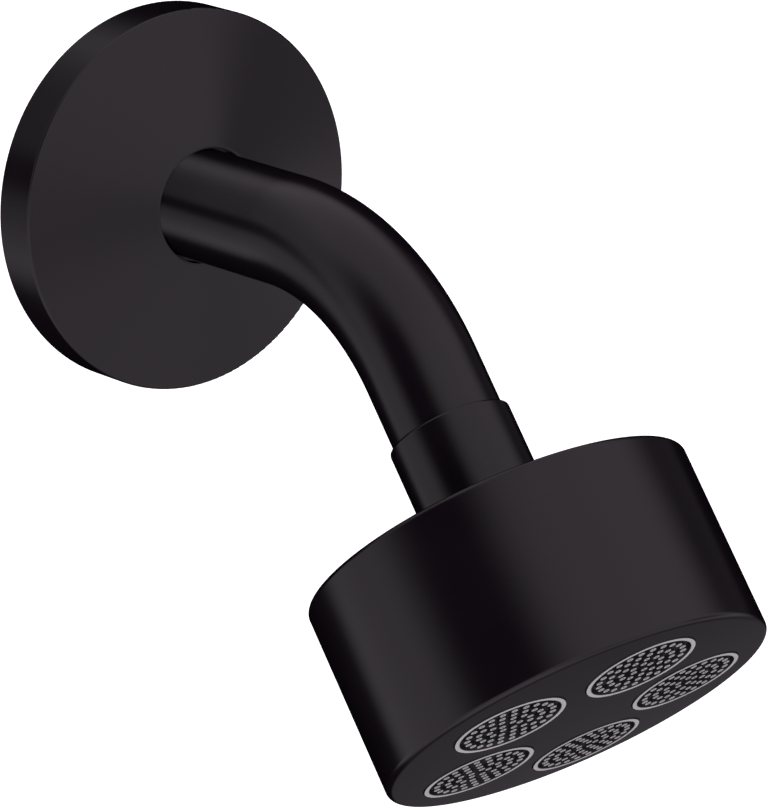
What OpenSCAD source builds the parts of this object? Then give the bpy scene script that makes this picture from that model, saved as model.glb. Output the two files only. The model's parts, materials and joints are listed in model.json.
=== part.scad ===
// Wall-mounted shower arm with a small cylindrical shower head on a ball joint.
// The origin is the arm's centre at the wall, +Z is up and the arm comes out of the wall along -Y.

/* [Wall flange] */
// Outer diameter of the flange
flange_d = 75; // [66:1:90]
// Height of its cylindrical rim
flange_rim_h = 9.4; // [8:0.1:12]
// Distance from the wall to the tip of its conical face
flange_tip_h = 16; // [14:0.5:20]
// Wall of the conical face
flange_wall = 2.2; // [1.5:0.1:3]
// Wall of the rim
flange_rim_wall = 3.5; // [3:0.1:5]
// Gap between the pipe and the flange's bore
flange_gap = 0.4; // [0.3:0.05:1.2]
// Wall of the hub round the bore
hub_wall = 3; // [2.6:0.1:4]
// Distance from the wall to the back of the hub
hub_back = 6; // [5.5:0.1:8]
// Rounding of the rim's front edge
flange_edge_r = 0.5; // [0.2:0.1:1.5]
// Rounding of the edge round the pipe
flange_mouth_r = 0.5; // [0.2:0.05:0.6]
// Section of the ring that grips the pipe
grip_ring_section = 2; // [1.5:0.1:2.2]
// Distance from the wall to the grip ring
grip_ring_at = 12; // [10:0.1:12.5]
// Thickness of the seal behind the rim
wall_seal_t = 1.6; // [1:0.1:2.5]
// Width of that seal
wall_seal_w = 2.8; // [2:0.1:4]
// Width of the ledge that the seal lies in
wall_seal_ledge = 1.5; // [1:0.1:2]

/* [Arm] */
// Outer diameter of the pipe
pipe_d = 21.7; // [21.2:0.1:24]
// Bore of the pipe
pipe_bore = 15; // [10:0.5:15.5]
// Straight run from the wall to the bend
wall_run = 42.3; // [30:0.1:200]
// Radius of the bend along the pipe's middle
bend_r = 52.6; // [35:0.1:90]
// Angle of the bend
bend_angle = 49.8; // [30:0.1:75]
// Straight run from the bend to the collar
drop_run = 12.5; // [4:0.1:60]
// Outer diameter of the half-inch pipe thread at both ends
thread_d = 20.955; // [20.8:0.005:21]
// Length of the thread behind the wall's face
thread_behind = 15; // [10:0.5:25]
// Length of the thread in front of the wall's face
thread_front = 5; // [2:0.1:5.2]
// Length of the thread at the outlet
outlet_thread_l = 7; // [6.5:0.1:12]
// Bore of the seat for the flow insert, in the outlet
insert_d = 16.6; // [16:0.1:17]

/* [Flow insert] */
// Thickness of the flow limiter
limiter_h = 3; // [2.5:0.1:3.5]
// Radius of the limiter's rubber ring
limiter_ring_r = 4; // [3.6:0.1:4.4]
// Section of the limiter's rubber ring
limiter_ring_section = 1.4; // [1.2:0.1:1.6]
// Number of notches under that ring
limiter_notches = 12; // [6:1:14]
// Bore of a notch
limiter_notch_d = 1; // [0.8:0.1:1.2]
// Thickness of the dirt screen
screen_h = 0.8; // [0.6:0.1:1]
// Bore of the screen's holes
screen_hole_d = 1.1; // [0.8:0.1:1.2]
// Distance between the screen's holes
screen_pitch = 1.8; // [1.5:0.1:1.8]
// Length of the rubber washer below the screen
washer_h = 2.7; // [2:0.1:3]
// Bore of that washer
washer_bore = 12; // [10:0.5:13]

/* [Collar and ball joint] */
// Outer diameter of the collar nut
collar_d = 23.74; // [23.4:0.02:25]
// Rounding of the collar's top edge
collar_top_r = 0.5; // [0.3:0.1:1.1]
// Rounding of the collar's bottom edge
collar_bottom_r = 0.8; // [0.3:0.1:1.5]
// Diameter of the ball
ball_d = 15; // [14:0.1:15.6]
// Distance from the outlet's end to the ball's centre
ball_below_outlet = 6.5; // [6.2:0.1:7]
// Distance from the ball's centre to its flat top
ball_flat = 5.6; // [5:0.1:5.8]
// Gap between the ball and its seats
ball_gap = 0.15; // [0.1:0.01:0.25]
// Wall of the ball's seats
seat_wall = 1.85; // [1.5:0.05:2]
// Height of the slide ring under the ball
slide_ring_h = 2.8; // [2.4:0.1:3.2]
// Height of the collar's lip under the slide ring
lip_h = 1.3; // [1:0.1:2]
// Gap between the ball and the lip
lip_gap = 0.25; // [0.15:0.05:0.6]
// Diameter of the ball's neck
neck_d = 9.2; // [8:0.1:9.6]
// Waterway through the ball and its neck
waterway_d = 6; // [4:0.1:6.4]
// Largest tilt of the head to either side, in degrees
tilt_max = 15; // [5:1:18]
// Gap that is left between the head and the collar at that tilt
tilt_gap = 1.1; // [0.8:0.1:3]
// Width of the neck's hexagon across its flats
neck_hex = 12.2; // [12:0.1:12.2]
// Height of that hexagon
neck_hex_h = 1.2; // [1:0.1:1.5]
// Diameter of the neck's thread in the head
neck_thread_d = 10; // [9.6:0.1:10]
// Length of that thread
neck_thread_l = 5.7; // [4:0.1:6]
// Section of the ring that seals the neck
neck_ring_section = 1; // [0.8:0.1:1.1]

/* [Head] */
// Outer diameter of the head
head_d = 75; // [73:1:90]
// Height of the head at its side
head_h = 37; // [36:0.1:50]
// Rise of the domed spray face at its middle
dome_rise = 1.1; // [0.6:0.1:3]
// Rounding of the head's top edge
head_top_r = 0.95; // [0.3:0.05:1.5]
// Rounding of the edge of the spray face
head_face_r = 1.1; // [0.3:0.1:2]
// Wall of the head's side
head_wall = 3; // [2.6:0.1:4]
// Wall of the spray face
face_wall = 3; // [2.6:0.1:4]
// Wall of the spray face where the nozzle rings seat
ring_seat_wall = 2.2; // [1.6:0.1:2.5]
// Width of the ledge that the cover lies on
cover_ledge = 1; // [0.6:0.1:1.6]
// Thickness of the cover
cover_t = 4.2; // [3.6:0.1:5]
// Chamfer of the cover's top edge
cover_chamfer = 0.3; // [0.1:0.1:0.5]
// Section of the ring that seals the cover
cover_ring_section = 1.2; // [1:0.1:1.4]
// Outer diameter of the boss under the cover
boss_d = 22; // [19:0.5:26]
// Depth of the boss's lower end below the head's top
boss_h = 14; // [13:0.1:15]

/* [Water chamber] */
// Thickness of the chamber's lid
lid_t = 2.5; // [2.3:0.1:3]
// Outer diameter of the lid's inlet tube
inlet_d = 14; // [13.6:0.1:14.6]
// Wall of the inlet tube
inlet_wall = 3; // [2.8:0.1:3.4]
// Length of the inlet tube
inlet_l = 5.6; // [4.8:0.1:5.8]
// Section of the ring that seals the inlet
inlet_ring_section = 1.3; // [1.1:0.1:1.5]
// Thickness of the lid's gasket
gasket_t = 0.8; // [0.5:0.1:1]
// Wall of the chamber
chamber_wall = 1.6; // [1.4:0.1:2]
// Depth of the chamber from its rim to its floor
chamber_depth = 7.2; // [6:0.1:8]
// Gap between the chamber and the head's inside
chamber_gap = 0.7; // [0.3:0.1:1]
// Wall of the wells that feed the nozzles
well_wall = 1.7; // [1.2:0.1:2]
// Number of lid screws
lid_screw_count = 5; // [5]
// Distance of a lid screw's middle from the chamber's wall
lid_screw_inset = 2.8; // [2.7:0.1:3]
// Shank of a lid screw
lid_screw_d = 2.5; // [2:0.1:2.6]
// Head of a lid screw
lid_screw_head_d = 4.6; // [4:0.1:4.6]
// Height of that head
lid_screw_head_h = 1.5; // [1.2:0.1:1.6]
// Length of the shank
lid_screw_l = 8; // [6:0.5:8.5]
// Wall round a lid screw in the chamber
screw_boss_wall = 1.2; // [0.8:0.1:1.3]

/* [Nozzles] */
// Number of nozzles round the face
nozzles = 5; // [5]
// Gap between a nozzle's flange and the head's side inside
nozzle_side_gap = 1.1; // [0.9:0.1:1.4]
// Smallest gap between the flanges of two neighbours
nozzle_gap = 1; // [0.6:0.1:1.2]
// Width of the bright ring round a nozzle
ring_w = 1.1; // [0.9:0.1:1.2]
// How far the ring stands out of the face
ring_stand = 0.2; // [0.1:0.05:0.4]
// Rounding of the ring's front edges
ring_edge_r = 0.2; // [0.1:0.05:0.3]
// Width of the ring's flange inside the face
ring_flange = 1.15; // [0.8:0.05:1.2]
// Depth of the ring's inner step behind the face
ring_step_at = 2.35; // [2.3:0.05:2.5]
// Depth of the jet plate's front behind the face
plate_recess = 0.8; // [0.4:0.1:1.2]
// Width of the jet plate's flange
plate_flange = 0.75; // [0.5:0.05:0.8]
// Thickness of the jet plate's flange
plate_flange_t = 1.2; // [0.8:0.1:1.5]
// Thickness of the rubber mat that carries the nubs
mat_t = 1.3; // [1:0.1:1.5]
// Largest number of circles of nubs; a smaller head has room for fewer
nub_circles_max = 4; // [2:1:4]
// Radius of the first circle
nub_first_r = 1.8; // [1.7:0.05:2]
// Step from one circle to the next
nub_step = 2.15; // [2:0.05:2.15]
// Nubs on the first circle
nub_first_count = 5; // [4:1:5]
// Nubs that each further circle adds
nub_count_step = 6; // [4:1:6]
// Angle of the ray that every circle starts on
nub_start = 16.4; // [0:0.1:30]
// Diameter of a nub at its tip
nub_d = 1.2; // [1:0.05:1.3]
// Diameter of a nub at its root
nub_root_d = 1.36; // [1.3:0.02:1.4]
// Bore of a jet
jet_d = 0.5; // [0.4:0.05:0.6]
// Bore of a jet's inlet in the mat
jet_inlet_d = 0.9; // [0.7:0.05:1]
// Space from the last circle of nubs to the ring
nub_margin = 0.8; // [0.7:0.05:0.9]

/* [Clearances] */
// Radial clearance of pieces that fit into one another
fit = 0.1; // [0.06:0.01:0.1]
// Radial clearance of screw threads
thread_fit = 0.05; // [0.02:0.01:0.08]
// Radial clearance of rubber rings in their grooves
ring_fit = 0.05; // [0.02:0.01:0.08]

/* [Hidden] */
$fn = 96;
over = 1;
dome_fn = 1440;
hex_sides = 6;

black = [0.13, 0.13, 0.14];
flange_r = flange_d / 2;
pipe_r = pipe_d / 2;
thread_r = thread_d / 2;
flange_bore_r = pipe_r + flange_gap;
hub_r = flange_bore_r + hub_wall;
cone_rise = (flange_tip_h - flange_rim_h) / (flange_r - flange_bore_r);
cone_dir = [-1, cone_rise] / norm([-1, cone_rise]);
flange_in_r = flange_r - flange_rim_wall;
seal_ledge_r = flange_in_r + wall_seal_ledge;
wall_seal_r = seal_ledge_r - fit;

collar_top = [
    0,
    -wall_run - bend_r * sin(bend_angle) - drop_run * cos(bend_angle),
    -bend_r * (1 - cos(bend_angle)) - drop_run * sin(bend_angle)];
insert_r = insert_d / 2;
insert_h = limiter_h + screen_h + washer_h;
insert_at = outlet_thread_l - insert_h;
insert_out_r = insert_r - fit;
screen_rows = floor((washer_bore - screen_hole_d) / 2 / screen_pitch);

ball_r = ball_d / 2;
seat_r = ball_r + ball_gap;
seat_out_r = seat_r + seat_wall;
ball_at = outlet_thread_l + ball_below_outlet;
ledge_at = ball_at + slide_ring_h;
collar_r = collar_d / 2;
collar_l = ledge_at + lip_h;
collar_shoulder_at = outlet_thread_l + fit;
lip_r = sqrt(pow(ball_r, 2) - pow(slide_ring_h, 2)) + lip_gap;
head_at = ball_at + (collar_l - ball_at) * cos(tilt_max) + collar_r * sin(tilt_max) + tilt_gap;
neck_r = neck_d / 2;
neck_thread_r = neck_thread_d / 2;
neck_ring_seat_r = neck_hex / 2 - 2 * fit;
neck_ring_r = neck_ring_seat_r - ring_fit - neck_ring_section / 2;
neck_groove_r = neck_ring_r - neck_ring_section / 2 - ring_fit;
neck_seat_h = neck_ring_section + 4 * fit;
seal_to_slide = 0.3;

head_r = head_d / 2;
dome_r = (pow(head_r, 2) + pow(dome_rise, 2)) / (2 * dome_rise);
dome_centre = head_h + dome_rise - dome_r;
head_in_r = head_r - head_wall;
cover_seat_r = head_in_r + cover_ledge;
cover_r = cover_seat_r - fit;
cover_ring_r = cover_seat_r - ring_fit - cover_ring_section / 2;
cover_groove_r = cover_ring_r - cover_ring_section / 2 - ring_fit;
cover_ring_at = cover_t / 2;
inlet_r = inlet_d / 2;
inlet_top = boss_h - inlet_l;
inlet_ring_r = inlet_r + fit - ring_fit - inlet_ring_section / 2;
inlet_groove_r = inlet_ring_r - inlet_ring_section / 2 - ring_fit;
inlet_ring_at = boss_h - inlet_l / 2;

chamber_r = head_in_r - chamber_gap;
chamber_in_r = chamber_r - chamber_wall;
lid_under = boss_h + lid_t;
chamber_rim = lid_under + gasket_t;
lid_spigot_h = gasket_t + 2 * fit;
chamber_floor = chamber_rim + chamber_depth;
lid_screw_at = chamber_in_r - lid_screw_inset;
screw_boss_r = min(lid_screw_d / 2 + screw_boss_wall, chamber_in_r - lid_screw_at - fit);

nozzle_room_r = head_in_r - nozzle_side_gap;
half_turn = 180 / nozzles;
flange_max_r = (nozzle_room_r * sin(half_turn) - nozzle_gap / 2) / (1 + sin(half_turn));
nub_to_flange = nub_d / 2 + nub_margin + ring_w + ring_flange;
nub_steps = floor((flange_max_r - nub_first_r - nub_to_flange) / nub_step);
nub_circles = max(1, min(nub_circles_max, nub_steps + 1));
nub_last_r = nub_first_r + (nub_circles - 1) * nub_step;
ring_in_r = nub_last_r + nub_d / 2 + nub_margin;
ring_out_r = ring_in_r + ring_w;
ring_rear_in_r = ring_in_r + plate_flange;
ring_flange_r = ring_out_r + ring_flange;
nozzle_at = nozzle_room_r - ring_flange_r;
plate_r = ring_in_r - fit;
plate_flange_r = ring_rear_in_r - fit;
mat_front = ring_step_at + plate_flange_t;
mat_back = mat_front + mat_t;
well_in_r = plate_flange_r - well_wall;
nozzle_lean = asin(nozzle_at / dome_r);
chamber_floor_mid = chamber_floor + chamber_wall / 2;
well_top = (chamber_floor_mid - dome_centre) / cos(nozzle_lean) - dome_r;
nub_hole_d = nub_root_d + fit;

function nub_places() = [
    for (circle_no = [0 : nub_circles - 1])
        let (count = nub_first_count + circle_no * nub_count_step)
        let (radius = nub_first_r + circle_no * nub_step)
        for (i = [0 : count - 1])
            let (angle = nub_start + i * 360 / count)
            radius * [cos(angle), sin(angle)]];

// Frames: out of the wall, down the outlet from the collar's top, down the head from its top
module out_of_wall() {
    rotate([90, 0, 0]) children();
}

module down_outlet() {
    translate(collar_top) rotate([90 + bend_angle, 0, 0]) children();
}

module in_head() {
    down_outlet() translate([0, 0, head_at]) children();
}

// A nozzle's own frame: its origin lies on the domed face and +Z is the way it sprays
module at_nozzle(k) {
    in_head()
        translate([0, 0, dome_centre])
            rotate([0, 0, 90 - (k - 1) * 360 / nozzles])
                rotate([0, nozzle_lean, 0])
                    translate([0, 0, dome_r]) children();
}

module at_lid_screws() {
    for (i = [0 : lid_screw_count - 1])
        rotate([0, 0, 90 + (i + 0.5) * 360 / lid_screw_count])
            translate([lid_screw_at, 0, 0]) children();
}

// What a rounding of radius r takes off the corner p, whose edges leave it along a and b
module corner_waste(p, a, b, r) {
    half = acos(a * b) / 2;
    mid = (a + b) / norm(a + b);
    centre = p + mid * r / sin(half);
    run = r / tan(half);
    difference() {
        polygon([p - mid * r, p + a * run, centre, p + b * run]);
        translate(centre) circle(r = r);
    }
}

module tube(r_out, r_in, z0, z1) {
    translate([0, 0, z0])
        difference() {
            cylinder(r = r_out, h = z1 - z0);
            translate([0, 0, -over]) cylinder(r = r_in, h = z1 - z0 + 2 * over);
        }
}

module rubber_ring(radius, section, z) {
    translate([0, 0, z])
        rotate_extrude() translate([radius, 0]) circle(d = section, $fn = 48);
}

// Bent brass pipe. Its last straight run starts inside the bend, in a wall thinner by bend_skin.
module shower_arm() color(black) {
    bore_r = pipe_bore / 2;
    lead = 1;
    run_in = 0.5;
    bend_skin = 0.03;
    out_of_wall() rotate_extrude() polygon([
        [bore_r, -thread_behind], [thread_r - lead, -thread_behind], [thread_r, lead - thread_behind],
        [thread_r, thread_front], [pipe_r, thread_front], [pipe_r, wall_run], [bore_r, wall_run]]);
    translate([0, -wall_run, -bend_r])
        rotate([180, -90, 0])
            rotate_extrude(angle = bend_angle) translate([bend_r, 0])
                difference() {
                    circle(r = pipe_r);
                    circle(r = bore_r);
                }
    down_outlet() rotate_extrude() polygon([
        [bore_r + bend_skin, -drop_run - run_in], [pipe_r - bend_skin, -drop_run - run_in],
        [pipe_r - bend_skin, 0], [thread_r, 0],
        [thread_r, outlet_thread_l - lead / 2], [thread_r - lead / 2, outlet_thread_l],
        [insert_r, outlet_thread_l], [insert_r, insert_at], [bore_r + bend_skin, insert_at]]);
}

module collar_nut() color(black) down_outlet() rotate_extrude() {
    thread_bore_r = thread_r + thread_fit;
    seat_bore_r = seat_out_r + fit;
    difference() {
        polygon([
            [thread_bore_r, 0], [collar_r, 0], [collar_r, collar_l], [lip_r, collar_l],
            [lip_r, ledge_at], [seat_bore_r, ledge_at], [seat_bore_r, collar_shoulder_at],
            [thread_bore_r, collar_shoulder_at]]);
        corner_waste([collar_r, 0], [-1, 0], [0, 1], min(collar_top_r, collar_r - thread_bore_r - fit));
        corner_waste([collar_r, collar_l], [-1, 0], [0, -1], collar_bottom_r);
    }
}

// Disc with a slot that the rubber ring narrows as the pressure rises
module flow_limiter() color("dimgray") down_outlet() translate([0, 0, insert_at]) {
    slot_w = limiter_ring_section + 2 * ring_fit;
    slot_h = limiter_ring_section + ring_fit;
    difference() {
        cylinder(r = insert_out_r, h = limiter_h);
        tube(limiter_ring_r + slot_w / 2, limiter_ring_r - slot_w / 2, -over, slot_h);
        for (i = [0 : limiter_notches - 1])
            rotate([0, 0, i * 360 / limiter_notches]) translate([limiter_ring_r, 0, -over])
                cylinder(d = limiter_notch_d, h = limiter_h + 2 * over, $fn = 24);
    }
}

module limiter_ring() color("black") down_outlet()
    rubber_ring(limiter_ring_r, limiter_ring_section, insert_at + limiter_ring_section / 2);

module dirt_screen() color("silver") down_outlet() translate([0, 0, insert_at + limiter_h])
    linear_extrude(screen_h) difference() {
        circle(r = insert_out_r);
        circle(d = screen_hole_d, $fn = 24);
        for (row = [1 : screen_rows], i = [0 : row * 6 - 1])
            rotate(i * 60 / row) translate([row * screen_pitch, 0]) circle(d = screen_hole_d, $fn = 24);
    }

module outlet_washer() color("black") down_outlet()
    tube(insert_out_r, washer_bore / 2, outlet_thread_l - washer_h, outlet_thread_l);

// Rubber cup above the ball, pressed down by the end of the arm
module ball_seal() color("black") down_outlet()
    difference() {
        translate([0, 0, outlet_thread_l])
            cylinder(r = seat_out_r, h = ball_below_outlet - seal_to_slide);
        translate([0, 0, ball_at]) sphere(r = seat_r);
        translate([0, 0, outlet_thread_l - over]) cylinder(d = waterway_d, h = 2 * over);
    }

// Hard ring under the ball; it turns with the head inside the collar
module slide_ring() color("ivory") down_outlet()
    difference() {
        translate([0, 0, ball_at]) cylinder(r = seat_out_r, h = slide_ring_h);
        translate([0, 0, ball_at]) sphere(r = seat_r);
    }

module ball_stud() color("silver") down_outlet()
    difference() {
        union() {
            difference() {
                translate([0, 0, ball_at]) sphere(r = ball_r);
                translate([0, 0, ball_at - ball_flat - ball_r]) cylinder(r = ball_r, h = ball_r);
            }
            translate([0, 0, ball_at]) cylinder(r = neck_r, h = head_at - ball_at);
            translate([0, 0, head_at - neck_hex_h])
                cylinder(d = neck_hex / cos(180 / hex_sides), h = neck_hex_h, $fn = hex_sides);
            translate([0, 0, head_at]) cylinder(r = neck_groove_r, h = neck_seat_h);
            translate([0, 0, head_at + neck_seat_h]) cylinder(r = neck_thread_r, h = neck_thread_l);
        }
        translate([0, 0, ball_at - ball_r]) cylinder(d = waterway_d, h = head_at + ball_r + 2 * over);
    }

module neck_ring() color("black") in_head()
    rubber_ring(neck_ring_r, neck_ring_section, neck_seat_h / 2);

module wall_flange() color(black) out_of_wall() rotate_extrude() {
    front = [flange_r, flange_rim_h];
    tip = [flange_bore_r, flange_tip_h];
    under = flange_wall * norm([1, cone_rise]);
    groove_h = grip_ring_section + 2 * ring_fit;
    difference() {
        polygon([
            [flange_r, 0], front, tip, [flange_bore_r, hub_back], [hub_r, hub_back],
            [hub_r, flange_tip_h - (hub_r - flange_bore_r) * cone_rise - under],
            [flange_in_r, flange_rim_h + flange_rim_wall * cone_rise - under],
            [flange_in_r, wall_seal_t], [seal_ledge_r, wall_seal_t], [seal_ledge_r, 0]]);
        corner_waste(front, cone_dir, [0, -1], flange_edge_r);
        corner_waste(tip, -cone_dir, [0, -1], flange_mouth_r);
        translate([0, grip_ring_at - groove_h / 2])
            square([pipe_r + grip_ring_section + 3 * ring_fit, groove_h]);
    }
}

module grip_ring() color("black") out_of_wall()
    rubber_ring(pipe_r + ring_fit + grip_ring_section / 2, grip_ring_section, grip_ring_at);

module wall_seal() color("black") out_of_wall()
    tube(wall_seal_r, wall_seal_r - wall_seal_w, 0, wall_seal_t);

// Turned can with a domed face and five round openings
module head_body() color(black)
    difference() {
        in_head() rotate_extrude() difference() {
            edge = [head_r, head_h];
            dome_dir = [-cos(asin(head_r / dome_r)), sin(asin(head_r / dome_r))];
            intersection() {
                square([head_r, head_h + dome_rise + over]);
                translate([0, dome_centre]) circle(r = dome_r, $fn = dome_fn);
            }
            corner_waste([head_r, 0], [-1, 0], [0, 1], head_top_r);
            corner_waste(edge, dome_dir, [0, -1], head_face_r);
            translate([-over, cover_t]) intersection() {
                square([head_in_r + over, head_h + dome_rise - face_wall - cover_t]);
                translate([over, dome_centre - cover_t]) circle(r = dome_r - face_wall, $fn = dome_fn);
            }
            translate([-over, -over]) square([cover_seat_r + over, cover_t + over]);
        }
        for (k = [1 : nozzles]) at_nozzle(k) {
            translate([0, 0, -face_wall - over])
                cylinder(r = ring_out_r + fit, h = face_wall + 2 * over);
            translate([0, 0, -mat_back - over])
                cylinder(r = ring_flange_r + 2 * fit, h = mat_back + over - ring_seat_wall);
        }
    }

module head_cover() color(black) in_head() rotate_extrude() {
    groove_h = cover_ring_section + 2 * ring_fit;
    difference() {
        polygon([
            [neck_thread_r + thread_fit, neck_seat_h], [neck_ring_seat_r, neck_seat_h],
            [neck_ring_seat_r, 0], [cover_r - cover_chamfer, 0], [cover_r, cover_chamfer],
            [cover_r, cover_t], [boss_d / 2, cover_t], [boss_d / 2, boss_h],
            [inlet_r + fit, boss_h], [inlet_r + fit, inlet_top - fit],
            [neck_thread_r + thread_fit, inlet_top - fit]]);
        translate([cover_groove_r, cover_ring_at - groove_h / 2]) square([cover_r, groove_h]);
    }
}

module cover_ring() color("black") in_head()
    rubber_ring(cover_ring_r, cover_ring_section, cover_ring_at);

module chamber_lid() color("dimgray") in_head()
    difference() {
        union() {
            translate([0, 0, boss_h]) cylinder(r = chamber_r, h = lid_t);
            translate([0, 0, lid_under]) cylinder(r = chamber_in_r - fit, h = lid_spigot_h);
            translate([0, 0, inlet_top]) cylinder(r = inlet_r, h = inlet_l);
        }
        translate([0, 0, inlet_top - over])
            cylinder(r = inlet_r - inlet_wall, h = inlet_l + lid_t + lid_spigot_h + 2 * over);
        tube(inlet_r + over, inlet_groove_r,
            inlet_ring_at - inlet_ring_section / 2 - ring_fit,
            inlet_ring_at + inlet_ring_section / 2 + ring_fit);
        at_lid_screws() {
            translate([0, 0, boss_h]) cylinder(d = lid_screw_d + 2 * fit, h = lid_t + lid_spigot_h + over);
            translate([0, 0, boss_h - over])
                cylinder(d = lid_screw_head_d + 2 * fit, h = over + lid_screw_head_h);
        }
    }

module inlet_ring() color("black") in_head()
    rubber_ring(inlet_ring_r, inlet_ring_section, inlet_ring_at);

module lid_gasket() color("black") in_head()
    tube(chamber_r - fit, chamber_in_r, lid_under, chamber_rim);

// Pan that spreads the water, with one well down to each nozzle
module water_chamber() color("dimgray")
    difference() {
        union() {
            in_head() {
                tube(chamber_r, chamber_in_r, chamber_rim, chamber_floor);
                translate([0, 0, chamber_floor]) cylinder(r = chamber_r, h = chamber_wall);
                at_lid_screws() translate([0, 0, lid_under + lid_spigot_h])
                    cylinder(r = screw_boss_r, h = chamber_floor_mid - lid_under - lid_spigot_h);
            }
            for (k = [1 : nozzles]) at_nozzle(k)
                translate([0, 0, well_top])
                    cylinder(r = plate_flange_r, h = -mat_back - well_top);
        }
        for (k = [1 : nozzles]) at_nozzle(k)
            translate([0, 0, well_top - chamber_wall])
                cylinder(r = well_in_r, h = chamber_wall - well_top);
        in_head() at_lid_screws() translate([0, 0, boss_h])
            cylinder(d = lid_screw_d + 2 * thread_fit, h = lid_screw_l + over);
    }

module lid_screws() color("silver") in_head() at_lid_screws()
    translate([0, 0, boss_h]) {
        cylinder(d = lid_screw_head_d, h = lid_screw_head_h);
        cylinder(d = lid_screw_d, h = lid_screw_l);
    }

// Bright bezel of a nozzle: it stands a little out of the face and seats behind it
module nozzle_ring(k) color("lightgray") at_nozzle(k) rotate_extrude() {
    difference() {
        polygon([
            [ring_in_r, ring_stand], [ring_out_r, ring_stand], [ring_out_r, -ring_seat_wall - fit / 2],
            [ring_flange_r, -ring_seat_wall - fit / 2], [ring_flange_r, -mat_back],
            [ring_rear_in_r, -mat_back], [ring_rear_in_r, -ring_step_at], [ring_in_r, -ring_step_at]]);
        corner_waste([ring_in_r, ring_stand], [1, 0], [0, -1], ring_edge_r);
        corner_waste([ring_out_r, ring_stand], [-1, 0], [0, -1], ring_edge_r);
    }
}

module jet_plate(k) color("black") at_nozzle(k)
    difference() {
        union() {
            translate([0, 0, -mat_front]) cylinder(r = plate_flange_r, h = plate_flange_t);
            translate([0, 0, -ring_step_at]) cylinder(r = plate_r, h = ring_step_at - plate_recess);
        }
        for (p = nub_places())
            translate([p.x, p.y, -mat_front - over])
                cylinder(d = nub_hole_d, h = mat_front + over, $fn = 20);
    }

module nozzle_mat(k) color("gray") at_nozzle(k)
    difference() {
        union() {
            translate([0, 0, -mat_back]) cylinder(r = plate_flange_r, h = mat_t);
            for (p = nub_places())
                translate([p.x, p.y, -mat_front])
                    cylinder(d1 = nub_root_d, d2 = nub_d, h = mat_front + ring_stand, $fn = 20);
        }
        for (p = nub_places()) translate([p.x, p.y, -mat_back - over]) {
            cylinder(d = jet_d, h = mat_back + ring_stand + 2 * over, $fn = 16);
            cylinder(d = jet_inlet_d, h = mat_t + over, $fn = 16);
        }
    }

shower_arm();
collar_nut();
flow_limiter();
limiter_ring();
dirt_screen();
outlet_washer();
ball_seal();
slide_ring();
wall_flange();
grip_ring();
wall_seal();
head_body();
head_cover();
cover_ring();
ball_stud();
neck_ring();
chamber_lid();
inlet_ring();
lid_gasket();
water_chamber();
lid_screws();
for (k = [1 : nozzles]) {
    nozzle_ring(k);
    jet_plate(k);
    nozzle_mat(k);
}
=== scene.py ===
# A wall-mounted shower arm with a sliding flange and a round shower head on a ball joint.
# Lengths are in metres. The pipe's middle in the wall's face is the origin, and the arm
# comes out of the wall along -Y.
import json
import math

import bpy
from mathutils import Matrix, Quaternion, Vector


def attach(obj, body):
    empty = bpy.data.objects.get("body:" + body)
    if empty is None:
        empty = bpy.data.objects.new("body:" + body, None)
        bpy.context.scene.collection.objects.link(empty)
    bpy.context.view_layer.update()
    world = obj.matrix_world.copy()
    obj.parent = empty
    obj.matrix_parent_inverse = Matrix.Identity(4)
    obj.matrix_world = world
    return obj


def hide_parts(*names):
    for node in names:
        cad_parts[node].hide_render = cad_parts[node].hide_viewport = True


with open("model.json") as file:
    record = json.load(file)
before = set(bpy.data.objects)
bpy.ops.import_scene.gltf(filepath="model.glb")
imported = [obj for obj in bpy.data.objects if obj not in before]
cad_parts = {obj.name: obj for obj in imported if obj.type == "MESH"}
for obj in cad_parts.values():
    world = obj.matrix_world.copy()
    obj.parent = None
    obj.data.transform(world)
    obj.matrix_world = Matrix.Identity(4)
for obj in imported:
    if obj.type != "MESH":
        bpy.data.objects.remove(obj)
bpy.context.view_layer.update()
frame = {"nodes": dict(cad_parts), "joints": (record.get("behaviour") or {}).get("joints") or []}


# Wall flange. A cone turned from brass, pushed over the pipe against the wall. It is powder
# coated with the arm: baked polyester, satin black, which shows its form in broad, soft bands.
def linear(code):
    """An sRGB hex value as the linear colour that a shader takes."""
    parts = [int(code[i:i + 2], 16) / 255 for i in (1, 3, 5)]
    return [c / 12.92 if c <= 0.04045 else ((c + 0.055) / 1.055) ** 2.4 for c in parts] + [1]


def add(tree, kind, settings=None, links=None):
    """One node in a tree. Settings are its properties or sockets, links feed its sockets."""
    made = tree.nodes.new(kind)
    for name, value in (settings or {}).items():
        if isinstance(name, str) and hasattr(made, name):
            setattr(made, name, value)
        else:
            made.inputs[name].default_value = value
    for name, source in (links or {}).items():
        tree.links.new(source, made.inputs[name])
    return made


def new_finish(name, **values):
    """A material, its tree and its shader, which holds the values that are the same all over."""
    finish = bpy.data.materials.new(name)
    finish.use_nodes = True
    shader = finish.node_tree.nodes["Principled BSDF"]
    for socket, value in values.items():
        shader.inputs[socket.replace("_", " ")].default_value = value
    return finish, finish.node_tree, shader


def dress(finish, *names):
    """Gives CAD nodes their finish."""
    for name in names:
        frame["nodes"][name].material_slots[0].material = finish


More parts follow.
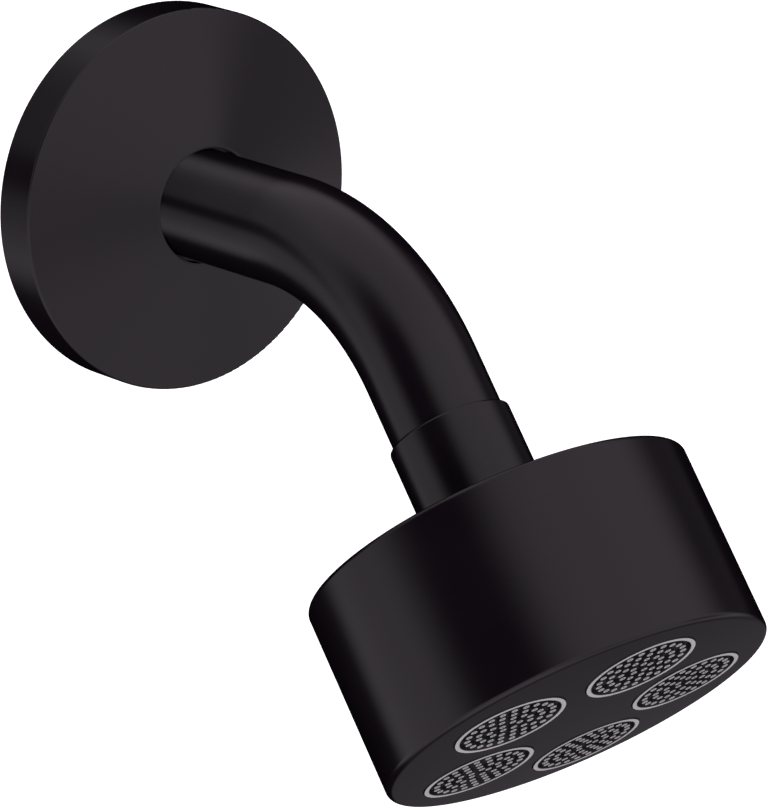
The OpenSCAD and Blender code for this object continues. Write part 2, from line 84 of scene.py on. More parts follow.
# Satin black powder coat: a violet-black film whose gloss wanders over some 15 mm with its
# thickness. Its orange peel, 0.8 mm across, is a few thousandths of a millimetre deep.
MM = 0.001
peel_size, peel_depth, film_size = 0.8 * MM, 0.003 * MM, 15 * MM
glossiest, dullest = 0.17, 0.21
black_coat, tree, shader = new_finish("Satin black powder coat", IOR=1.5)
place = add(tree, "ShaderNodeTexCoord")
film = add(tree, "ShaderNodeTexNoise", {"Scale": 1 / film_size, "Detail": 2},
           {"Vector": place.outputs["Object"]})
peel = add(tree, "ShaderNodeTexNoise", {"Scale": 1 / peel_size, "Detail": 2},
           {"Vector": place.outputs["Object"]})
tone = add(tree, "ShaderNodeMix", {"data_type": "RGBA", 6: linear("#161117"), 7: linear("#1a151b")},
           {0: film.outputs["Fac"]})
gloss = add(tree, "ShaderNodeMapRange",
            {"From Min": 0.3, "From Max": 0.7, "To Min": glossiest, "To Max": dullest},
            {"Value": film.outputs["Fac"]})
relief = add(tree, "ShaderNodeBump", {"Strength": 0.5, "Distance": peel_depth},
             {"Height": peel.outputs["Fac"]})
tree.links.new(tone.outputs[2], shader.inputs["Base Color"])
tree.links.new(gloss.outputs["Result"], shader.inputs["Roughness"])
tree.links.new(relief.outputs["Normal"], shader.inputs["Normal"])
dress(black_coat, "wall_flange")

# Seals and rings. Moulded nitrile rubber, soot black and dull, with a matt grain of about
# half a millimetre where it was bead-blasted in the mould.
rubber_grain, rubber_relief = 0.5 * MM, 0.02 * MM
rubber, tree, shader = new_finish("Moulded nitrile rubber", Roughness=0.62)
place = add(tree, "ShaderNodeTexCoord")
grain = add(tree, "ShaderNodeTexNoise", {"Scale": 1 / rubber_grain, "Detail": 4},
            {"Vector": place.outputs["Object"]})
tone = add(tree, "ShaderNodeMix", {"data_type": "RGBA", 6: linear("#141414"), 7: linear("#1f1f20")},
           {0: grain.outputs["Fac"]})
relief = add(tree, "ShaderNodeBump", {"Strength": 0.4, "Distance": rubber_relief},
             {"Height": grain.outputs["Fac"]})
tree.links.new(tone.outputs[2], shader.inputs["Base Color"])
tree.links.new(relief.outputs["Normal"], shader.inputs["Normal"])
dress(rubber, "grip_ring", "wall_seal", "limiter_ring", "outlet_washer", "ball_seal",
      "cover_ring", "neck_ring", "inlet_ring", "lid_gasket")


# Arm. A brass tube with a half-inch pipe thread rolled on its wall end, bent once over a
# former and coated outside. The turned outline is spun, threaded and laid along the bent path.
def new_tree(name, given):
    """An empty Geometry Nodes tree with its named inputs; gives the tree, its start and its end."""
    made = bpy.data.node_groups.new(name, "GeometryNodeTree")
    for size, kind in given.items():
        made.interface.new_socket(size, in_out="INPUT", socket_type="NodeSocket" + kind)
    made.interface.new_socket("Body", in_out="OUTPUT", socket_type="NodeSocketGeometry")
    return made, made.nodes.new("NodeGroupInput").outputs, made.nodes.new("NodeGroupOutput").inputs


def make_piece(name, outline, tree, values, body, replaced, sharp_over):
    """Runs a tree on a turned outline of (radius, height) points and leaves a plain, placed mesh."""
    half = bpy.data.meshes.new(name + "_outline")
    half.from_pydata([(r, 0, z) for r, z in outline], [], [])
    piece = bpy.data.objects.new(name, half)
    bpy.context.scene.collection.objects.link(piece)
    modifier = piece.modifiers.new(tree.name, "NODES")
    modifier.node_group = tree
    for socket in tree.interface.items_tree:
        if socket.in_out == "INPUT" and socket.name in values:
            modifier[socket.identifier] = values[socket.name]
    ready = piece.evaluated_get(bpy.context.evaluated_depsgraph_get())
    mesh = bpy.data.meshes.new_from_object(ready)
    piece.modifiers.remove(modifier)
    piece.data = mesh
    bpy.data.meshes.remove(half)
    mesh.name = name
    mesh.shade_smooth()
    mesh.set_sharp_from_angle(angle=sharp_over)
    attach(piece, body)
    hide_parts(replaced)
    return piece


def arc(centre, radius, start, end, steps):
    """Points of a round stretch of an outline, its two ends among them; angles in degrees."""
    angles = [math.radians(start + (end - start) * i / steps) for i in range(steps + 1)]
    return [(centre[0] + radius * math.cos(a), centre[1] + radius * math.sin(a)) for a in angles]


same_spot = 0.001 * MM
turning, given, made = new_tree("Turning", {"Outline": "Geometry", "Sides": "Int"})
points = add(turning, "GeometryNodeAttributeDomainSize", {}, {"Geometry": given["Outline"]})
columns = add(turning, "ShaderNodeMath", {"operation": "ADD", 1: 1}, {0: given["Sides"]})
sheet = add(turning, "GeometryNodeMeshGrid", {},
            {"Vertices X": columns.outputs[0], "Vertices Y": points.outputs["Point Count"]})
index = add(turning, "GeometryNodeInputIndex")
row = add(turning, "ShaderNodeMath", {"operation": "FLOORED_MODULO"},
          {0: index.outputs[0], 1: points.outputs["Point Count"]})
share = add(turning, "ShaderNodeMath", {"operation": "DIVIDE"},
            {0: index.outputs[0], 1: points.outputs["Point Count"]})
column = add(turning, "ShaderNodeMath", {"operation": "FLOOR"}, {0: share.outputs[0]})
turns = add(turning, "ShaderNodeMath", {"operation": "DIVIDE"},
            {0: column.outputs[0], 1: given["Sides"]})
angle = add(turning, "ShaderNodeMath", {"operation": "MULTIPLY", 1: math.tau},
            {0: turns.outputs[0]})
where = add(turning, "GeometryNodeInputPosition")
point = add(turning, "GeometryNodeSampleIndex", {"data_type": "FLOAT_VECTOR", "domain": "POINT"},
            {"Geometry": given["Outline"], "Value": where.outputs[0], "Index": row.outputs[0]})
spun = add(turning, "ShaderNodeVectorRotate", {"rotation_type": "Z_AXIS"},
           {"Vector": point.outputs["Value"], "Angle": angle.outputs[0]})
shell = add(turning, "GeometryNodeSetPosition", {},
            {"Geometry": sheet.outputs["Mesh"], "Position": spun.outputs["Vector"]})
sewn = add(turning, "GeometryNodeMergeByDistance", {"Distance": same_spot},
           {"Geometry": shell.outputs[0]})
turning.links.new(sewn.outputs[0], made["Body"])

bending, given, made = new_tree("Threading and bending", {
    "Outline": "Geometry", "Sides": "Int", "Thread middle radius": "Float", "Thread half depth": "Float",
    "Thread pitch": "Float", "Thread length": "Float", "Wall end": "Vector", "Corner": "Vector",
    "Outlet end": "Vector", "Bend radius": "Float", "Bend steps": "Int", "Bare within": "Float",
    "Bare": "Material", "Coat": "Material"})
tube = add(bending, "GeometryNodeGroup", {"node_tree": turning},
           {0: given["Outline"], 1: given["Sides"]})
where = add(bending, "GeometryNodeInputPosition")
part = add(bending, "ShaderNodeSeparateXYZ", {}, {0: where.outputs[0]})
around = add(bending, "ShaderNodeMath", {"operation": "ARCTAN2"},
             {0: part.outputs["Y"], 1: part.outputs["X"]})
turns = add(bending, "ShaderNodeMath", {"operation": "DIVIDE"},
            {0: part.outputs["Z"], 1: given["Thread pitch"]})
climb = add(bending, "ShaderNodeMath", {"operation": "MULTIPLY", 1: math.tau},
            {0: turns.outputs[0]})
phase = add(bending, "ShaderNodeMath", {"operation": "SUBTRACT"},
            {0: climb.outputs[0], 1: around.outputs[0]})
wave = add(bending, "ShaderNodeMath", {"operation": "COSINE"}, {0: phase.outputs[0]})
groove = add(bending, "ShaderNodeMath", {"operation": "MULTIPLY_ADD"},
             {0: wave.outputs[0], 1: given["Thread half depth"], 2: given["Thread middle radius"]})
past = add(bending, "ShaderNodeMath", {"operation": "SUBTRACT"},
           {0: part.outputs["Z"], 1: given["Thread length"]})
run_out = add(bending, "ShaderNodeMath", {"operation": "MAXIMUM", 1: 0}, {0: past.outputs[0]})
limit = add(bending, "ShaderNodeMath", {"operation": "ADD"},
            {0: groove.outputs[0], 1: run_out.outputs[0]})
flat = add(bending, "ShaderNodeVectorMath", {"operation": "MULTIPLY", 1: (1, 1, 0)},
           {0: where.outputs[0]})
reach = add(bending, "ShaderNodeVectorMath", {"operation": "LENGTH"}, {0: flat.outputs["Vector"]})
cut = add(bending, "ShaderNodeMath", {"operation": "MINIMUM"},
          {0: reach.outputs["Value"], 1: limit.outputs[0]})
shrink = add(bending, "ShaderNodeMath", {"operation": "DIVIDE"},
             {0: cut.outputs[0], 1: reach.outputs["Value"]})
threaded = add(bending, "ShaderNodeVectorMath", {"operation": "SCALE"},
               {0: flat.outputs["Vector"], "Scale": shrink.outputs[0]})
side = add(bending, "ShaderNodeSeparateXYZ", {}, {0: threaded.outputs["Vector"]})
index = add(bending, "GeometryNodeInputIndex")
corner = add(bending, "GeometryNodeIndexSwitch", {"data_type": "VECTOR"})
corner.index_switch_items.new()
chosen_from = (index.outputs[0], given["Wall end"], given["Corner"], given["Outlet end"])
for socket, source in zip(corner.inputs, chosen_from):
    bending.links.new(source, socket)
line = add(bending, "GeometryNodeMeshLine", {"Count": 3})
bent = add(bending, "GeometryNodeSetPosition", {},
           {"Geometry": line.outputs[0], "Position": corner.outputs[0]})
wire = add(bending, "GeometryNodeMeshToCurve", {}, {"Mesh": bent.outputs[0]})
path = add(bending, "GeometryNodeFilletCurve", {"mode": "POLY"},
           {"Curve": wire.outputs[0], "Count": given["Bend steps"], "Radius": given["Bend radius"]})
level = add(bending, "GeometryNodeSetCurveNormal", {"mode": "Z_UP"}, {"Curve": path.outputs[0]})
along = add(bending, "GeometryNodeSampleCurve", {"mode": "LENGTH"},
            {"Curves": level.outputs[0], "Length": part.outputs["Z"]})
upward = add(bending, "ShaderNodeVectorMath", {"operation": "CROSS_PRODUCT"},
             {0: along.outputs["Tangent"], 1: along.outputs["Normal"]})
sideways = add(bending, "ShaderNodeVectorMath", {"operation": "MULTIPLY_ADD"},
               {0: along.outputs["Normal"], 1: side.outputs["X"], 2: along.outputs["Position"]})
settled = add(bending, "ShaderNodeVectorMath", {"operation": "MULTIPLY_ADD"},
              {0: upward.outputs["Vector"], 1: side.outputs["Y"], 2: sideways.outputs["Vector"]})
inside = add(bending, "FunctionNodeCompare", {"operation": "LESS_THAN"},
             {0: reach.outputs["Value"], 1: given["Bare within"]})
plain = add(bending, "GeometryNodeSetMaterial", {},
            {"Geometry": tube.outputs[0], "Selection": inside.outputs[0], "Material": given["Bare"]})
laid = add(bending, "GeometryNodeSetPosition", {},
           {"Geometry": plain.outputs[0], "Position": settled.outputs["Vector"]})
whole = add(bending, "GeometryNodeRealizeInstances", {}, {"Geometry": laid.outputs[0]})
bare = add(bending, "GeometryNodeMaterialSelection", {}, {"Material": given["Bare"]})
outside = add(bending, "FunctionNodeBooleanMath", {"operation": "NOT"}, {0: bare.outputs[0]})
coated = add(bending, "GeometryNodeSetMaterial", {},
             {"Geometry": whole.outputs[0], "Selection": outside.outputs[0], "Material": given["Coat"]})
bending.links.new(coated.outputs[0], made["Body"])

# Brass bore, as drawn. It is left bare and goes dull brown from the water, in streaks of some
# 1.5 mm, so it drinks up the light that falls into the pipe.
streak_size = 1.5 * MM
brass_bore, tree, shader = new_finish("Drawn brass bore", Roughness=0.8, Specular_IOR_Level=0.1)
place = add(tree, "ShaderNodeTexCoord")
streaks = add(tree, "ShaderNodeTexNoise", {"Scale": 1 / streak_size, "Detail": 3},
              {"Vector": place.outputs["Object"]})
tone = add(tree, "ShaderNodeMix", {"data_type": "RGBA", 6: linear("#3a2d1c"), 7: linear("#5a4629")},
           {0: streaks.outputs["Fac"]})
tree.links.new(tone.outputs[2], shader.inputs["Base Color"])

pipe_r, bore_r, pipe_sides = 10.85 * MM, 7.5 * MM, 96
bare_within = bore_r + 0.1 * MM
thread_crease = math.radians(50)
behind_wall, wall_run, drop_run = 15 * MM, 42.3 * MM, 12.5 * MM
bend_r, bend_angle, bend_steps = 52.6 * MM, math.radians(49.8), 48
thread_r, thread_depth, thread_pitch = 10.4775 * MM, 1.162 * MM, 1.8143 * MM
thread_l, thread_lead, ring_step = 20 * MM, 1 * MM, thread_pitch / 10
outlet_l, outlet_lead, seat_r, seat_l = 7 * MM, 0.5 * MM, 8.3 * MM, 6.5 * MM
down = Vector((0, -math.cos(bend_angle), -math.sin(bend_angle)))
to_corner = bend_r * math.tan(bend_angle / 2)
wall_end = Vector((0, behind_wall, 0))
corner_at = Vector((0, -wall_run - to_corner, 0))
outlet_end = corner_at + down * (to_corner + drop_run + outlet_l)
bend_start = behind_wall + wall_run
bend_stops = [bend_start + bend_r * bend_angle * i / bend_steps for i in range(bend_steps + 1)]
shoulder = bend_stops[-1] + drop_run
outlet_tip = shoulder + outlet_l
thread_rings = int((thread_l - thread_lead) / ring_step) + 1
thread_stops = [thread_lead + ring_step * i for i in range(thread_rings)]
arm_outline = [(bore_r, 0), (thread_r - thread_lead, 0)] + [(thread_r, z) for z in thread_stops]
arm_outline += [(thread_r, thread_l), (pipe_r, thread_l)] + [(pipe_r, z) for z in bend_stops]
arm_outline += [(pipe_r, shoulder), (thread_r, shoulder), (thread_r, outlet_tip - outlet_lead),
                (thread_r - outlet_lead, outlet_tip), (seat_r, outlet_tip), (seat_r, outlet_tip - seat_l),
                (bore_r, outlet_tip - seat_l)]
arm_outline += [(bore_r, z) for z in reversed(bend_stops)] + [(bore_r, 0)]
arm = make_piece("arm", arm_outline, bending, {
    "Sides": pipe_sides,
    "Thread middle radius": thread_r - thread_depth / 2, "Thread half depth": thread_depth / 2,
    "Thread pitch": thread_pitch, "Thread length": thread_l - 2 * thread_depth, "Wall end": wall_end,
    "Corner": corner_at, "Outlet end": outlet_end, "Bend radius": bend_r, "Bend steps": bend_steps,
    "Bare within": bare_within, "Bare": brass_bore,
    "Coat": black_coat}, "arm", "shower_arm", thread_crease)

# Flow insert. A limiter disc and its ring, a punched steel screen and a washer, dropped into
# the outlet. The disc is glass-filled nylon, dark grey and matt, faintly mottled by the fibres.
mottle_size = 1.2 * MM
nylon, tree, shader = new_finish("Glass-filled nylon", Roughness=0.5)
place = add(tree, "ShaderNodeTexCoord")
mottle = add(tree, "ShaderNodeTexNoise", {"Scale": 1 / mottle_size, "Detail": 4},
             {"Vector": place.outputs["Object"]})
tone = add(tree, "ShaderNodeMix", {"data_type": "RGBA", 6: linear("#54555a"), 7: linear("#66676b")},
           {0: mottle.outputs["Fac"]})
tree.links.new(tone.outputs[2], shader.inputs["Base Color"])
dress(nylon, "flow_limiter", "chamber_lid", "water_chamber")

# Tumbled stainless steel of the screen and the lid's screws: bright grey, its gloss broken by
# the fine marks of the tumbling stones, some 0.8 mm apart.
stone_mark = 0.8 * MM
steel, tree, shader = new_finish("Tumbled stainless steel", Metallic=1.0)
place = add(tree, "ShaderNodeTexCoord")
marks = add(tree, "ShaderNodeTexNoise", {"Scale": 1 / stone_mark, "Detail": 3},
            {"Vector": place.outputs["Object"]})
tone = add(tree, "ShaderNodeMix", {"data_type": "RGBA", 6: linear("#bcbcbb"), 7: linear("#c8c8c8")},
           {0: marks.outputs["Fac"]})
gloss = add(tree, "ShaderNodeMapRange", {"To Min": 0.26, "To Max": 0.38},
            {"Value": marks.outputs["Fac"]})
tree.links.new(tone.outputs[2], shader.inputs["Base Color"])
tree.links.new(gloss.outputs["Result"], shader.inputs["Roughness"])
dress(steel, "dirt_screen", "lid_screws")

# Collar nut and slide ring. The nut is turned from brass and coated with the arm. The ring
# under the ball is natural acetal: cream and waxy, with faint flow marks some 3 mm across.
dress(black_coat, "collar_nut")
flow_size = 3 * MM
acetal, tree, shader = new_finish("Natural acetal", Roughness=0.35)
place = add(tree, "ShaderNodeTexCoord")
flow = add(tree, "ShaderNodeTexNoise", {"Scale": 1 / flow_size, "Detail": 3},
           {"Vector": place.outputs["Object"]})
tone = add(tree, "ShaderNodeMix", {"data_type": "RGBA", 6: linear("#d8d2c0"), 7: linear("#e2ddce")},
           {0: flow.outputs["Fac"]})
tree.links.new(tone.outputs[2], shader.inputs["Base Color"])
dress(acetal, "slide_ring")

# Ball stud. Turned from brass in one piece with its neck and hexagon, polished and nickel
# plated: a warm, pale mirror whose gloss is slightly uneven over some 3 mm.
polish_size = 3 * MM
nickel, tree, shader = new_finish("Polished nickel plating", Metallic=1.0)
place = add(tree, "ShaderNodeTexCoord")
polish = add(tree, "ShaderNodeTexNoise", {"Scale": 1 / polish_size, "Detail": 3},
             {"Vector": place.outputs["Object"]})
tone = add(tree, "ShaderNodeMix", {"data_type": "RGBA", 6: linear("#c9c4ba"), 7: linear("#d3cec5")},
           {0: polish.outputs["Fac"]})
gloss = add(tree, "ShaderNodeMapRange", {"To Min": 0.12, "To Max": 0.2},
            {"Value": polish.outputs["Fac"]})
tree.links.new(tone.outputs[2], shader.inputs["Base Color"])
tree.links.new(gloss.outputs["Result"], shader.inputs["Roughness"])
dress(nickel, "ball_stud")

# Head. A can turned from brass, its side and its slightly domed spray face in one piece, with
# five openings bored square to the dome and a wider pocket behind each. The cover closes it.
boring, given, made = new_tree("Turning and boring", {
    "Outline": "Geometry", "Sides": "Int", "Openings": "Int", "Opening radius": "Float",
    "Pocket radius": "Float", "Cutter length": "Float", "Cutter sides": "Int", "Opening height": "Float",
    "Pocket height": "Float", "Dome centre": "Vector", "Lean": "Float", "Step": "Float",
    "Place": "Vector", "Turn": "Vector", "Coat": "Material"})
can = add(boring, "GeometryNodeGroup", {"node_tree": turning},
          {0: given["Outline"], 1: given["Sides"]})
index = add(boring, "GeometryNodeInputIndex")
swing = add(boring, "ShaderNodeMath", {"operation": "MULTIPLY"},
            {0: index.outputs[0], 1: given["Step"]})
heading = add(boring, "ShaderNodeMath", {"operation": "ADD", 1: math.pi / 2}, {0: swing.outputs[0]})
aim = add(boring, "ShaderNodeCombineXYZ", {}, {"Y": given["Lean"], "Z": heading.outputs[0]})
spots = add(boring, "GeometryNodePoints", {},
            {"Count": given["Openings"], "Position": given["Dome centre"]})
cutters = []
for radius, height in (("Opening radius", "Opening height"), ("Pocket radius", "Pocket height")):
    drill = add(boring, "GeometryNodeMeshCylinder", {}, {
        "Vertices": given["Cutter sides"], "Radius": given[radius], "Depth": given["Cutter length"]})
    reach = add(boring, "ShaderNodeCombineXYZ", {}, {"Z": given[height]})
    set_off = add(boring, "GeometryNodeTransform", {},
                  {"Geometry": drill.outputs["Mesh"], "Translation": reach.outputs[0]})
    ring_of = add(boring, "GeometryNodeInstanceOnPoints", {},
                  {"Points": spots.outputs[0], "Instance": set_off.outputs[0], "Rotation": aim.outputs[0]})
    cutters.append(add(boring, "GeometryNodeRealizeInstances", {}, {"Geometry": ring_of.outputs[0]}))
bored = add(boring, "GeometryNodeMeshBoolean", {"operation": "DIFFERENCE", "solver": "EXACT"},
            {"Mesh 1": can.outputs[0]})
for cutter in cutters:
    boring.links.new(cutter.outputs[0], bored.inputs["Mesh 2"])
placed = add(boring, "GeometryNodeTransform", {},
             {"Geometry": bored.outputs["Mesh"], "Translation": given["Place"], "Rotation": given["Turn"]})
whole = add(boring, "GeometryNodeRealizeInstances", {}, {"Geometry": placed.outputs[0]})
coated = add(boring, "GeometryNodeSetMaterial", {},
             {"Geometry": whole.outputs[0], "Material": given["Coat"]})
boring.links.new(coated.outputs[0], made["Body"])

swivel = next(joint for joint in frame["joints"] if joint["name"] == "head_swivel")
ball_at = Vector(swivel["pos_m"])
tilt_max, lip_below_ball, collar_r, tilt_gap = math.radians(15), 4.1 * MM, 11.87 * MM, 1.1 * MM
below_ball = lip_below_ball * math.cos(tilt_max) + collar_r * math.sin(tilt_max) + tilt_gap
head_at = ball_at + down * below_ball
head_r, head_h, dome_rise = 37.5 * MM, 37 * MM, 1.1 * MM
dome_r = (head_r ** 2 + dome_rise ** 2) / (2 * dome_rise)
dome_mid = head_h + dome_rise - dome_r
head_wall, face_wall, cover_depth, cover_ledge = 3 * MM, 3 * MM, 4.2 * MM, 1 * MM
top_edge_r, face_edge_r, dome_steps, edge_steps = 0.95 * MM, 1.1 * MM, 16, 8
beside_edge, head_sides, cutter_sides, edge_crease = 0.12 * MM, 192, 96, math.radians(25)
inside_r, inner_dome_r = head_r - head_wall, dome_r - face_wall
to_round, round_out = dome_r - face_edge_r, head_r - face_edge_r
round_mid = (round_out, dome_mid + math.sqrt(to_round ** 2 - round_out ** 2))
round_tilt = math.degrees(math.asin(round_out / to_round))
inner_tilt = math.degrees(math.asin(inside_r / inner_dome_r))
head_outline = arc((0, dome_mid), inner_dome_r, 90, 90 - inner_tilt, dome_steps)
ledge_r = inside_r + cover_ledge
head_outline += [(inside_r, cover_depth), (ledge_r, cover_depth), (ledge_r, 0)]
head_outline += arc((head_r - top_edge_r, top_edge_r), top_edge_r, -90, 0, edge_steps)
head_outline += [(head_r, top_edge_r + beside_edge), (head_r, round_mid[1] - beside_edge)]
head_outline += arc(round_mid, face_edge_r, 0, 90 - round_tilt, edge_steps)
dome_start = 90 - round_tilt + math.degrees(beside_edge / dome_r)
head_outline += arc((0, dome_mid), dome_r, dome_start, 90, dome_steps)
nozzle_out, opening_r, pocket_r = 21.5 * MM, 10.85 * MM, 12.1 * MM
seat_wall, drill_l, nozzles = 2.2 * MM, 12 * MM, 5
head_turn = Vector((math.pi / 2 + bend_angle, 0, 0))
head_can = make_piece("head_can", head_outline, boring, {
    "Sides": head_sides, "Openings": nozzles, "Opening radius": opening_r, "Pocket radius": pocket_r,
    "Cutter length": drill_l, "Cutter sides": cutter_sides, "Opening height": dome_r,
    "Pocket height": dome_r - seat_wall - drill_l / 2, "Dome centre": Vector((0, 0, dome_mid)),
    "Lean": math.asin(nozzle_out / dome_r), "Step": -math.tau / nozzles, "Place": head_at,
    "Turn": head_turn, "Coat": black_coat}, "head", "head_body", edge_crease)
dress(black_coat, "head_cover")

# Nozzle bezels. Five rings turned from aluminium and coated black with the head. Their fronts
# are then faced bright and clear anodised. Each front is painted near white as one even, light
# line, a painted highlight in place of light from below, with turning marks some 0.4 mm apart.
dome_centre = head_at + down * dome_mid
faced_from, faced_to, tool_mark = dome_r + 0.25 * MM, dome_r + 0.28 * MM, 0.4 * MM
bezel_painted_highlight, tree, shader = new_finish("Faced aluminium bezel with painted highlight", Metallic=0.1)
place = add(tree, "ShaderNodeTexCoord")
marks = add(tree, "ShaderNodeTexNoise", {"Scale": 1 / tool_mark, "Detail": 3},
            {"Vector": place.outputs["Object"]})
# Painted highlight: the faced fronts' near-white colour, which stands in for light from below.
painted_highlight = add(tree, "ShaderNodeMix", {"data_type": "RGBA", 6: linear("#f6faf6"), 7: linear("#fafefa")},
             {0: marks.outputs["Fac"]})
height = add(tree, "ShaderNodeVectorMath", {"operation": "DISTANCE", 1: dome_centre},
             {0: place.outputs["Object"]})
# The mask of the faced front, where the painted highlight goes; the sides keep the black coat.
faced = add(tree, "ShaderNodeMapRange", {"From Min": faced_from, "From Max": faced_to},
            {"Value": height.outputs["Value"]})
tone = add(tree, "ShaderNodeMix", {"data_type": "RGBA", 6: linear("#0d0b0e")},
           {0: faced.outputs["Result"], 7: painted_highlight.outputs[2]})
gloss = add(tree, "ShaderNodeMapRange", {"To Min": 0.42, "To Max": 0.55},
            {"Value": marks.outputs["Fac"]})
tree.links.new(tone.outputs[2], shader.inputs["Base Color"])
tree.links.new(gloss.outputs["Result"], shader.inputs["Roughness"])

# Jet plates. Moulded black ABS, drilled with 56 holes each and set back behind the bezel:
# near black, with the dull bloom of a lightly textured mould.
mould_grain = 0.5 * MM
abs_black, tree, shader = new_finish("Moulded black ABS", Roughness=0.42)
place = add(tree, "ShaderNodeTexCoord")
grain = add(tree, "ShaderNodeTexNoise", {"Scale": 1 / mould_grain, "Detail": 3},
            {"Vector": place.outputs["Object"]})
tone = add(tree, "ShaderNodeMix", {"data_type": "RGBA", 6: linear("#08080a"), 7: linear("#101011")},
           {0: grain.outputs["Fac"]})
tree.links.new(tone.outputs[2], shader.inputs["Base Color"])

# Nozzle mats. Liquid silicone, moulded in one with 56 tapered nubs that poke through the
# plate. It is matt, its cut tips painted pale as a highlight and its sides painted darker as shade.
# Heights over the dome's centre: the painted shade darkens the sides below side_to, and the painted tip
# light starts above it.
side_from, side_to, tip_from = dome_r - 0.7 * MM, dome_r + 0.16 * MM, dome_r + 0.19 * MM
cloud_size = 0.6 * MM
silicone_painted_light_shade, tree, shader = new_finish("Grey liquid silicone, painted tip light and side shade", Roughness=0.7, Specular_IOR_Level=0.2)
place = add(tree, "ShaderNodeTexCoord")
cloud = add(tree, "ShaderNodeTexNoise", {"Scale": 1 / cloud_size, "Detail": 3},
            {"Vector": place.outputs["Object"]})
# Painted highlight: the pale tips, as if lit from below.
painted_tip_light = add(tree, "ShaderNodeMix", {"data_type": "RGBA", 6: linear("#cfd4d0"), 7: linear("#e1e7e2")},
          {0: cloud.outputs["Fac"]})
height = add(tree, "ShaderNodeVectorMath", {"operation": "DISTANCE", 1: dome_centre},
             {0: place.outputs["Object"]})
painted_shade_ramp = add(tree, "ShaderNodeMapRange", {"From Min": side_from, "From Max": side_to},
              {"Value": height.outputs["Value"]})
# Painted shade: the nubs' sides darken towards the plate, where light doesn't reach between them.
painted_side_shade = add(tree, "ShaderNodeMix", {"data_type": "RGBA", 6: linear("#0a0b0b"), 7: linear("#2a2c2b")},
          {0: painted_shade_ramp.outputs["Result"]})
# Tip mask: above it, the painted pale tip light replaces the painted side shade.
cut = add(tree, "ShaderNodeMapRange", {"From Min": side_to, "From Max": tip_from},
          {"Value": height.outputs["Value"]})
tone = add(tree, "ShaderNodeMix", {"data_type": "RGBA"},
           {0: cut.outputs["Result"], 6: painted_side_shade.outputs[2], 7: painted_tip_light.outputs[2]})
tree.links.new(tone.outputs[2], shader.inputs["Base Color"])
for number in range(1, nozzles + 1):
    dress(bezel_painted_highlight, f"nozzle_ring_{number}")
    dress(abs_black, f"jet_plate_{number}")
    dress(silicone_painted_light_shade, f"nozzle_mat_{number}")

# Floor. A wide sweep of plain white paper, far below the part. It fills the view to its edges
# and throws neither light nor mirror image on the part.
floor_half, floor_z = 30, -2
floor_mesh = bpy.data.meshes.new("floor")
corners = [(x * floor_half, y * floor_half) for x, y in ((-1, -1), (1, -1), (1, 1), (-1, 1))]
floor_mesh.from_pydata([(x, y, floor_z) for x, y in corners], [], [(0, 1, 2, 3)])
floor = bpy.data.objects.new("floor", floor_mesh)
bpy.context.scene.collection.objects.link(floor)
paper, tree, shader = new_finish("White paper sweep", Roughness=0.9, Base_Color=linear("#ffffff"),
                                 Emission_Color=linear("#ffffff"), Emission_Strength=1.0)
floor_mesh.materials.append(paper)
floor.visible_diffuse = floor.visible_glossy = floor.visible_shadow = False

# Light. A white tent, even all round, with a dozen soft cards and panels hung in it, as a black
# product is lit. Each is (azimuth, elevation, radius, soft edge, light added), in degrees, with
# azimuth 0 in front of the wall and 90 on the right.
tent = 0.6
cards = [
    (110, 15, 32, 14, -0.55),   # black drape on the right
    (145, 15, 25, 12, -0.55),   # its end, towards the wall
    (180, 0, 35, 5, -0.55),     # the dark wall itself
    (-155, 15, 30, 15, -0.25),  # grey drape on the left, by the wall
    (-138, 5, 8, 5, -0.3),      # its darker edge
    (-80, 25, 28, 15, -0.6),    # black card on the left
    (0, -15, 10, 5, -0.15),     # small grey card, low in front
    (55, 0, 15, 5, -0.3),       # grey card, front right
    (130, -55, 50, 15, -0.5),   # dark table, low on the right
    (175, -45, 22, 12, -0.4),   # its edge, below the wall
    (15, 35, 35, 10, 0.1),      # bright panel, high in front
    (-45, -35, 30, 10, 0.2),    # bright panel, low front left
]

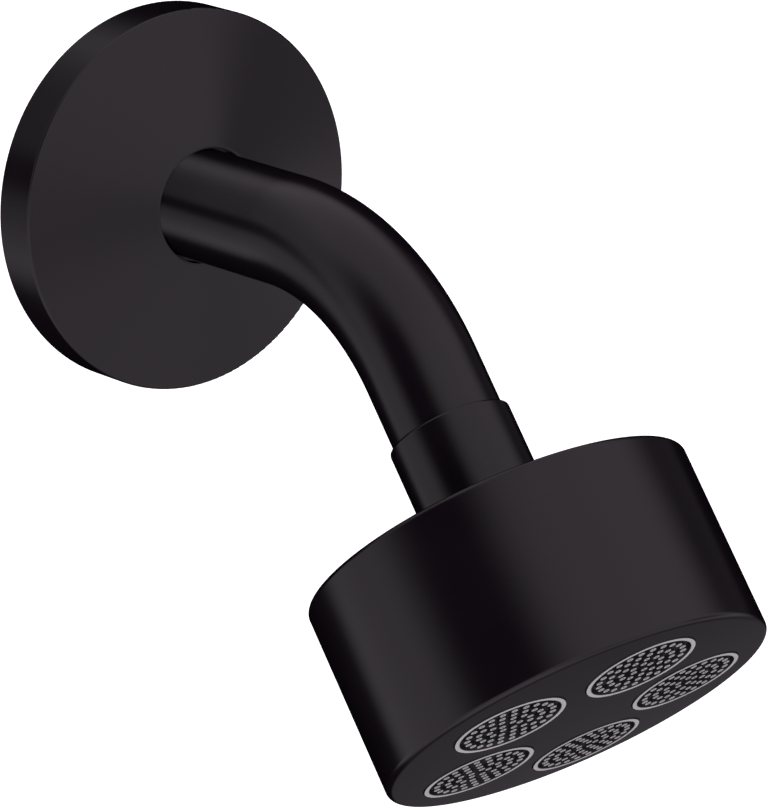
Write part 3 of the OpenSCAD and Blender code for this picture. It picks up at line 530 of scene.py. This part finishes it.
# The pieces mirror the tent alone and not each other.
for piece in (arm, head_can, *frame["nodes"].values()):
    piece.visible_glossy = False
studio = bpy.data.worlds.new("Studio tent")
bpy.context.scene.world = studio
studio.use_nodes = True
tree = studio.node_tree
way = add(tree, "ShaderNodeTexCoord")
light_so_far = {}
for azimuth, elevation, radius, soft, change in cards:
    a, e = math.radians(azimuth), math.radians(elevation)
    towards = (math.sin(a) * math.cos(e), -math.cos(a) * math.cos(e), math.sin(e))
    near = add(tree, "ShaderNodeVectorMath", {"operation": "DOT_PRODUCT", 1: towards},
               {0: way.outputs["Generated"]})
    off = add(tree, "ShaderNodeMath", {"operation": "ARCCOSINE"}, {0: near.outputs["Value"]})
    card = add(tree, "ShaderNodeMapRange", {
        "interpolation_type": "SMOOTHSTEP", "From Min": math.radians(radius - soft),
        "From Max": math.radians(radius + soft), "To Min": change, "To Max": 0}, {"Value": off.outputs[0]})
    light = add(tree, "ShaderNodeMath", {"operation": "ADD", 0: tent},
                {**light_so_far, 1: card.outputs["Result"]})
    light_so_far = {0: light.outputs[0]}
level = add(tree, "ShaderNodeMath", {"operation": "MAXIMUM", 1: 0}, {0: light.outputs[0]})
tinted = add(tree, "ShaderNodeBackground", {"Color": linear("#fff4ff")},
             {"Strength": level.outputs[0]})
white = tree.nodes["Background"]
white.inputs["Color"].default_value = linear("#ffffff")
ray = add(tree, "ShaderNodeLightPath")
shown = add(tree, "ShaderNodeMixShader", {},
            {0: ray.outputs["Is Camera Ray"], 1: tinted.outputs[0], 2: white.outputs[0]})
tree.links.new(shown.outputs[0], tree.nodes["World Output"].inputs["Surface"])
bpy.context.scene.view_settings.view_transform = "Standard"

# Camera. A long lens a metre off, to the left of the arm and a little above it, level to
# within a seventh of a degree.
lens_at = Vector((-589.28, -828.61, 234.65)) * MM
aim_at = Vector((0, -71.074, -27.496)) * MM
roll = math.radians(0.1463)
focal_length, sensor_w, near_end, far_end = 238.32, 36, 0.05, 100
lens = bpy.data.cameras.new("camera")
lens.lens, lens.sensor_width = focal_length, sensor_w
lens.clip_start, lens.clip_end = near_end, far_end
camera = bpy.data.objects.new("camera", lens)
camera.rotation_mode = "QUATERNION"
camera.location = lens_at
camera.rotation_quaternion = (aim_at - lens_at).to_track_quat("-Z", "Y") @ Quaternion((0, 0, 1), roll)
bpy.context.scene.collection.objects.link(camera)
bpy.context.scene.camera = camera
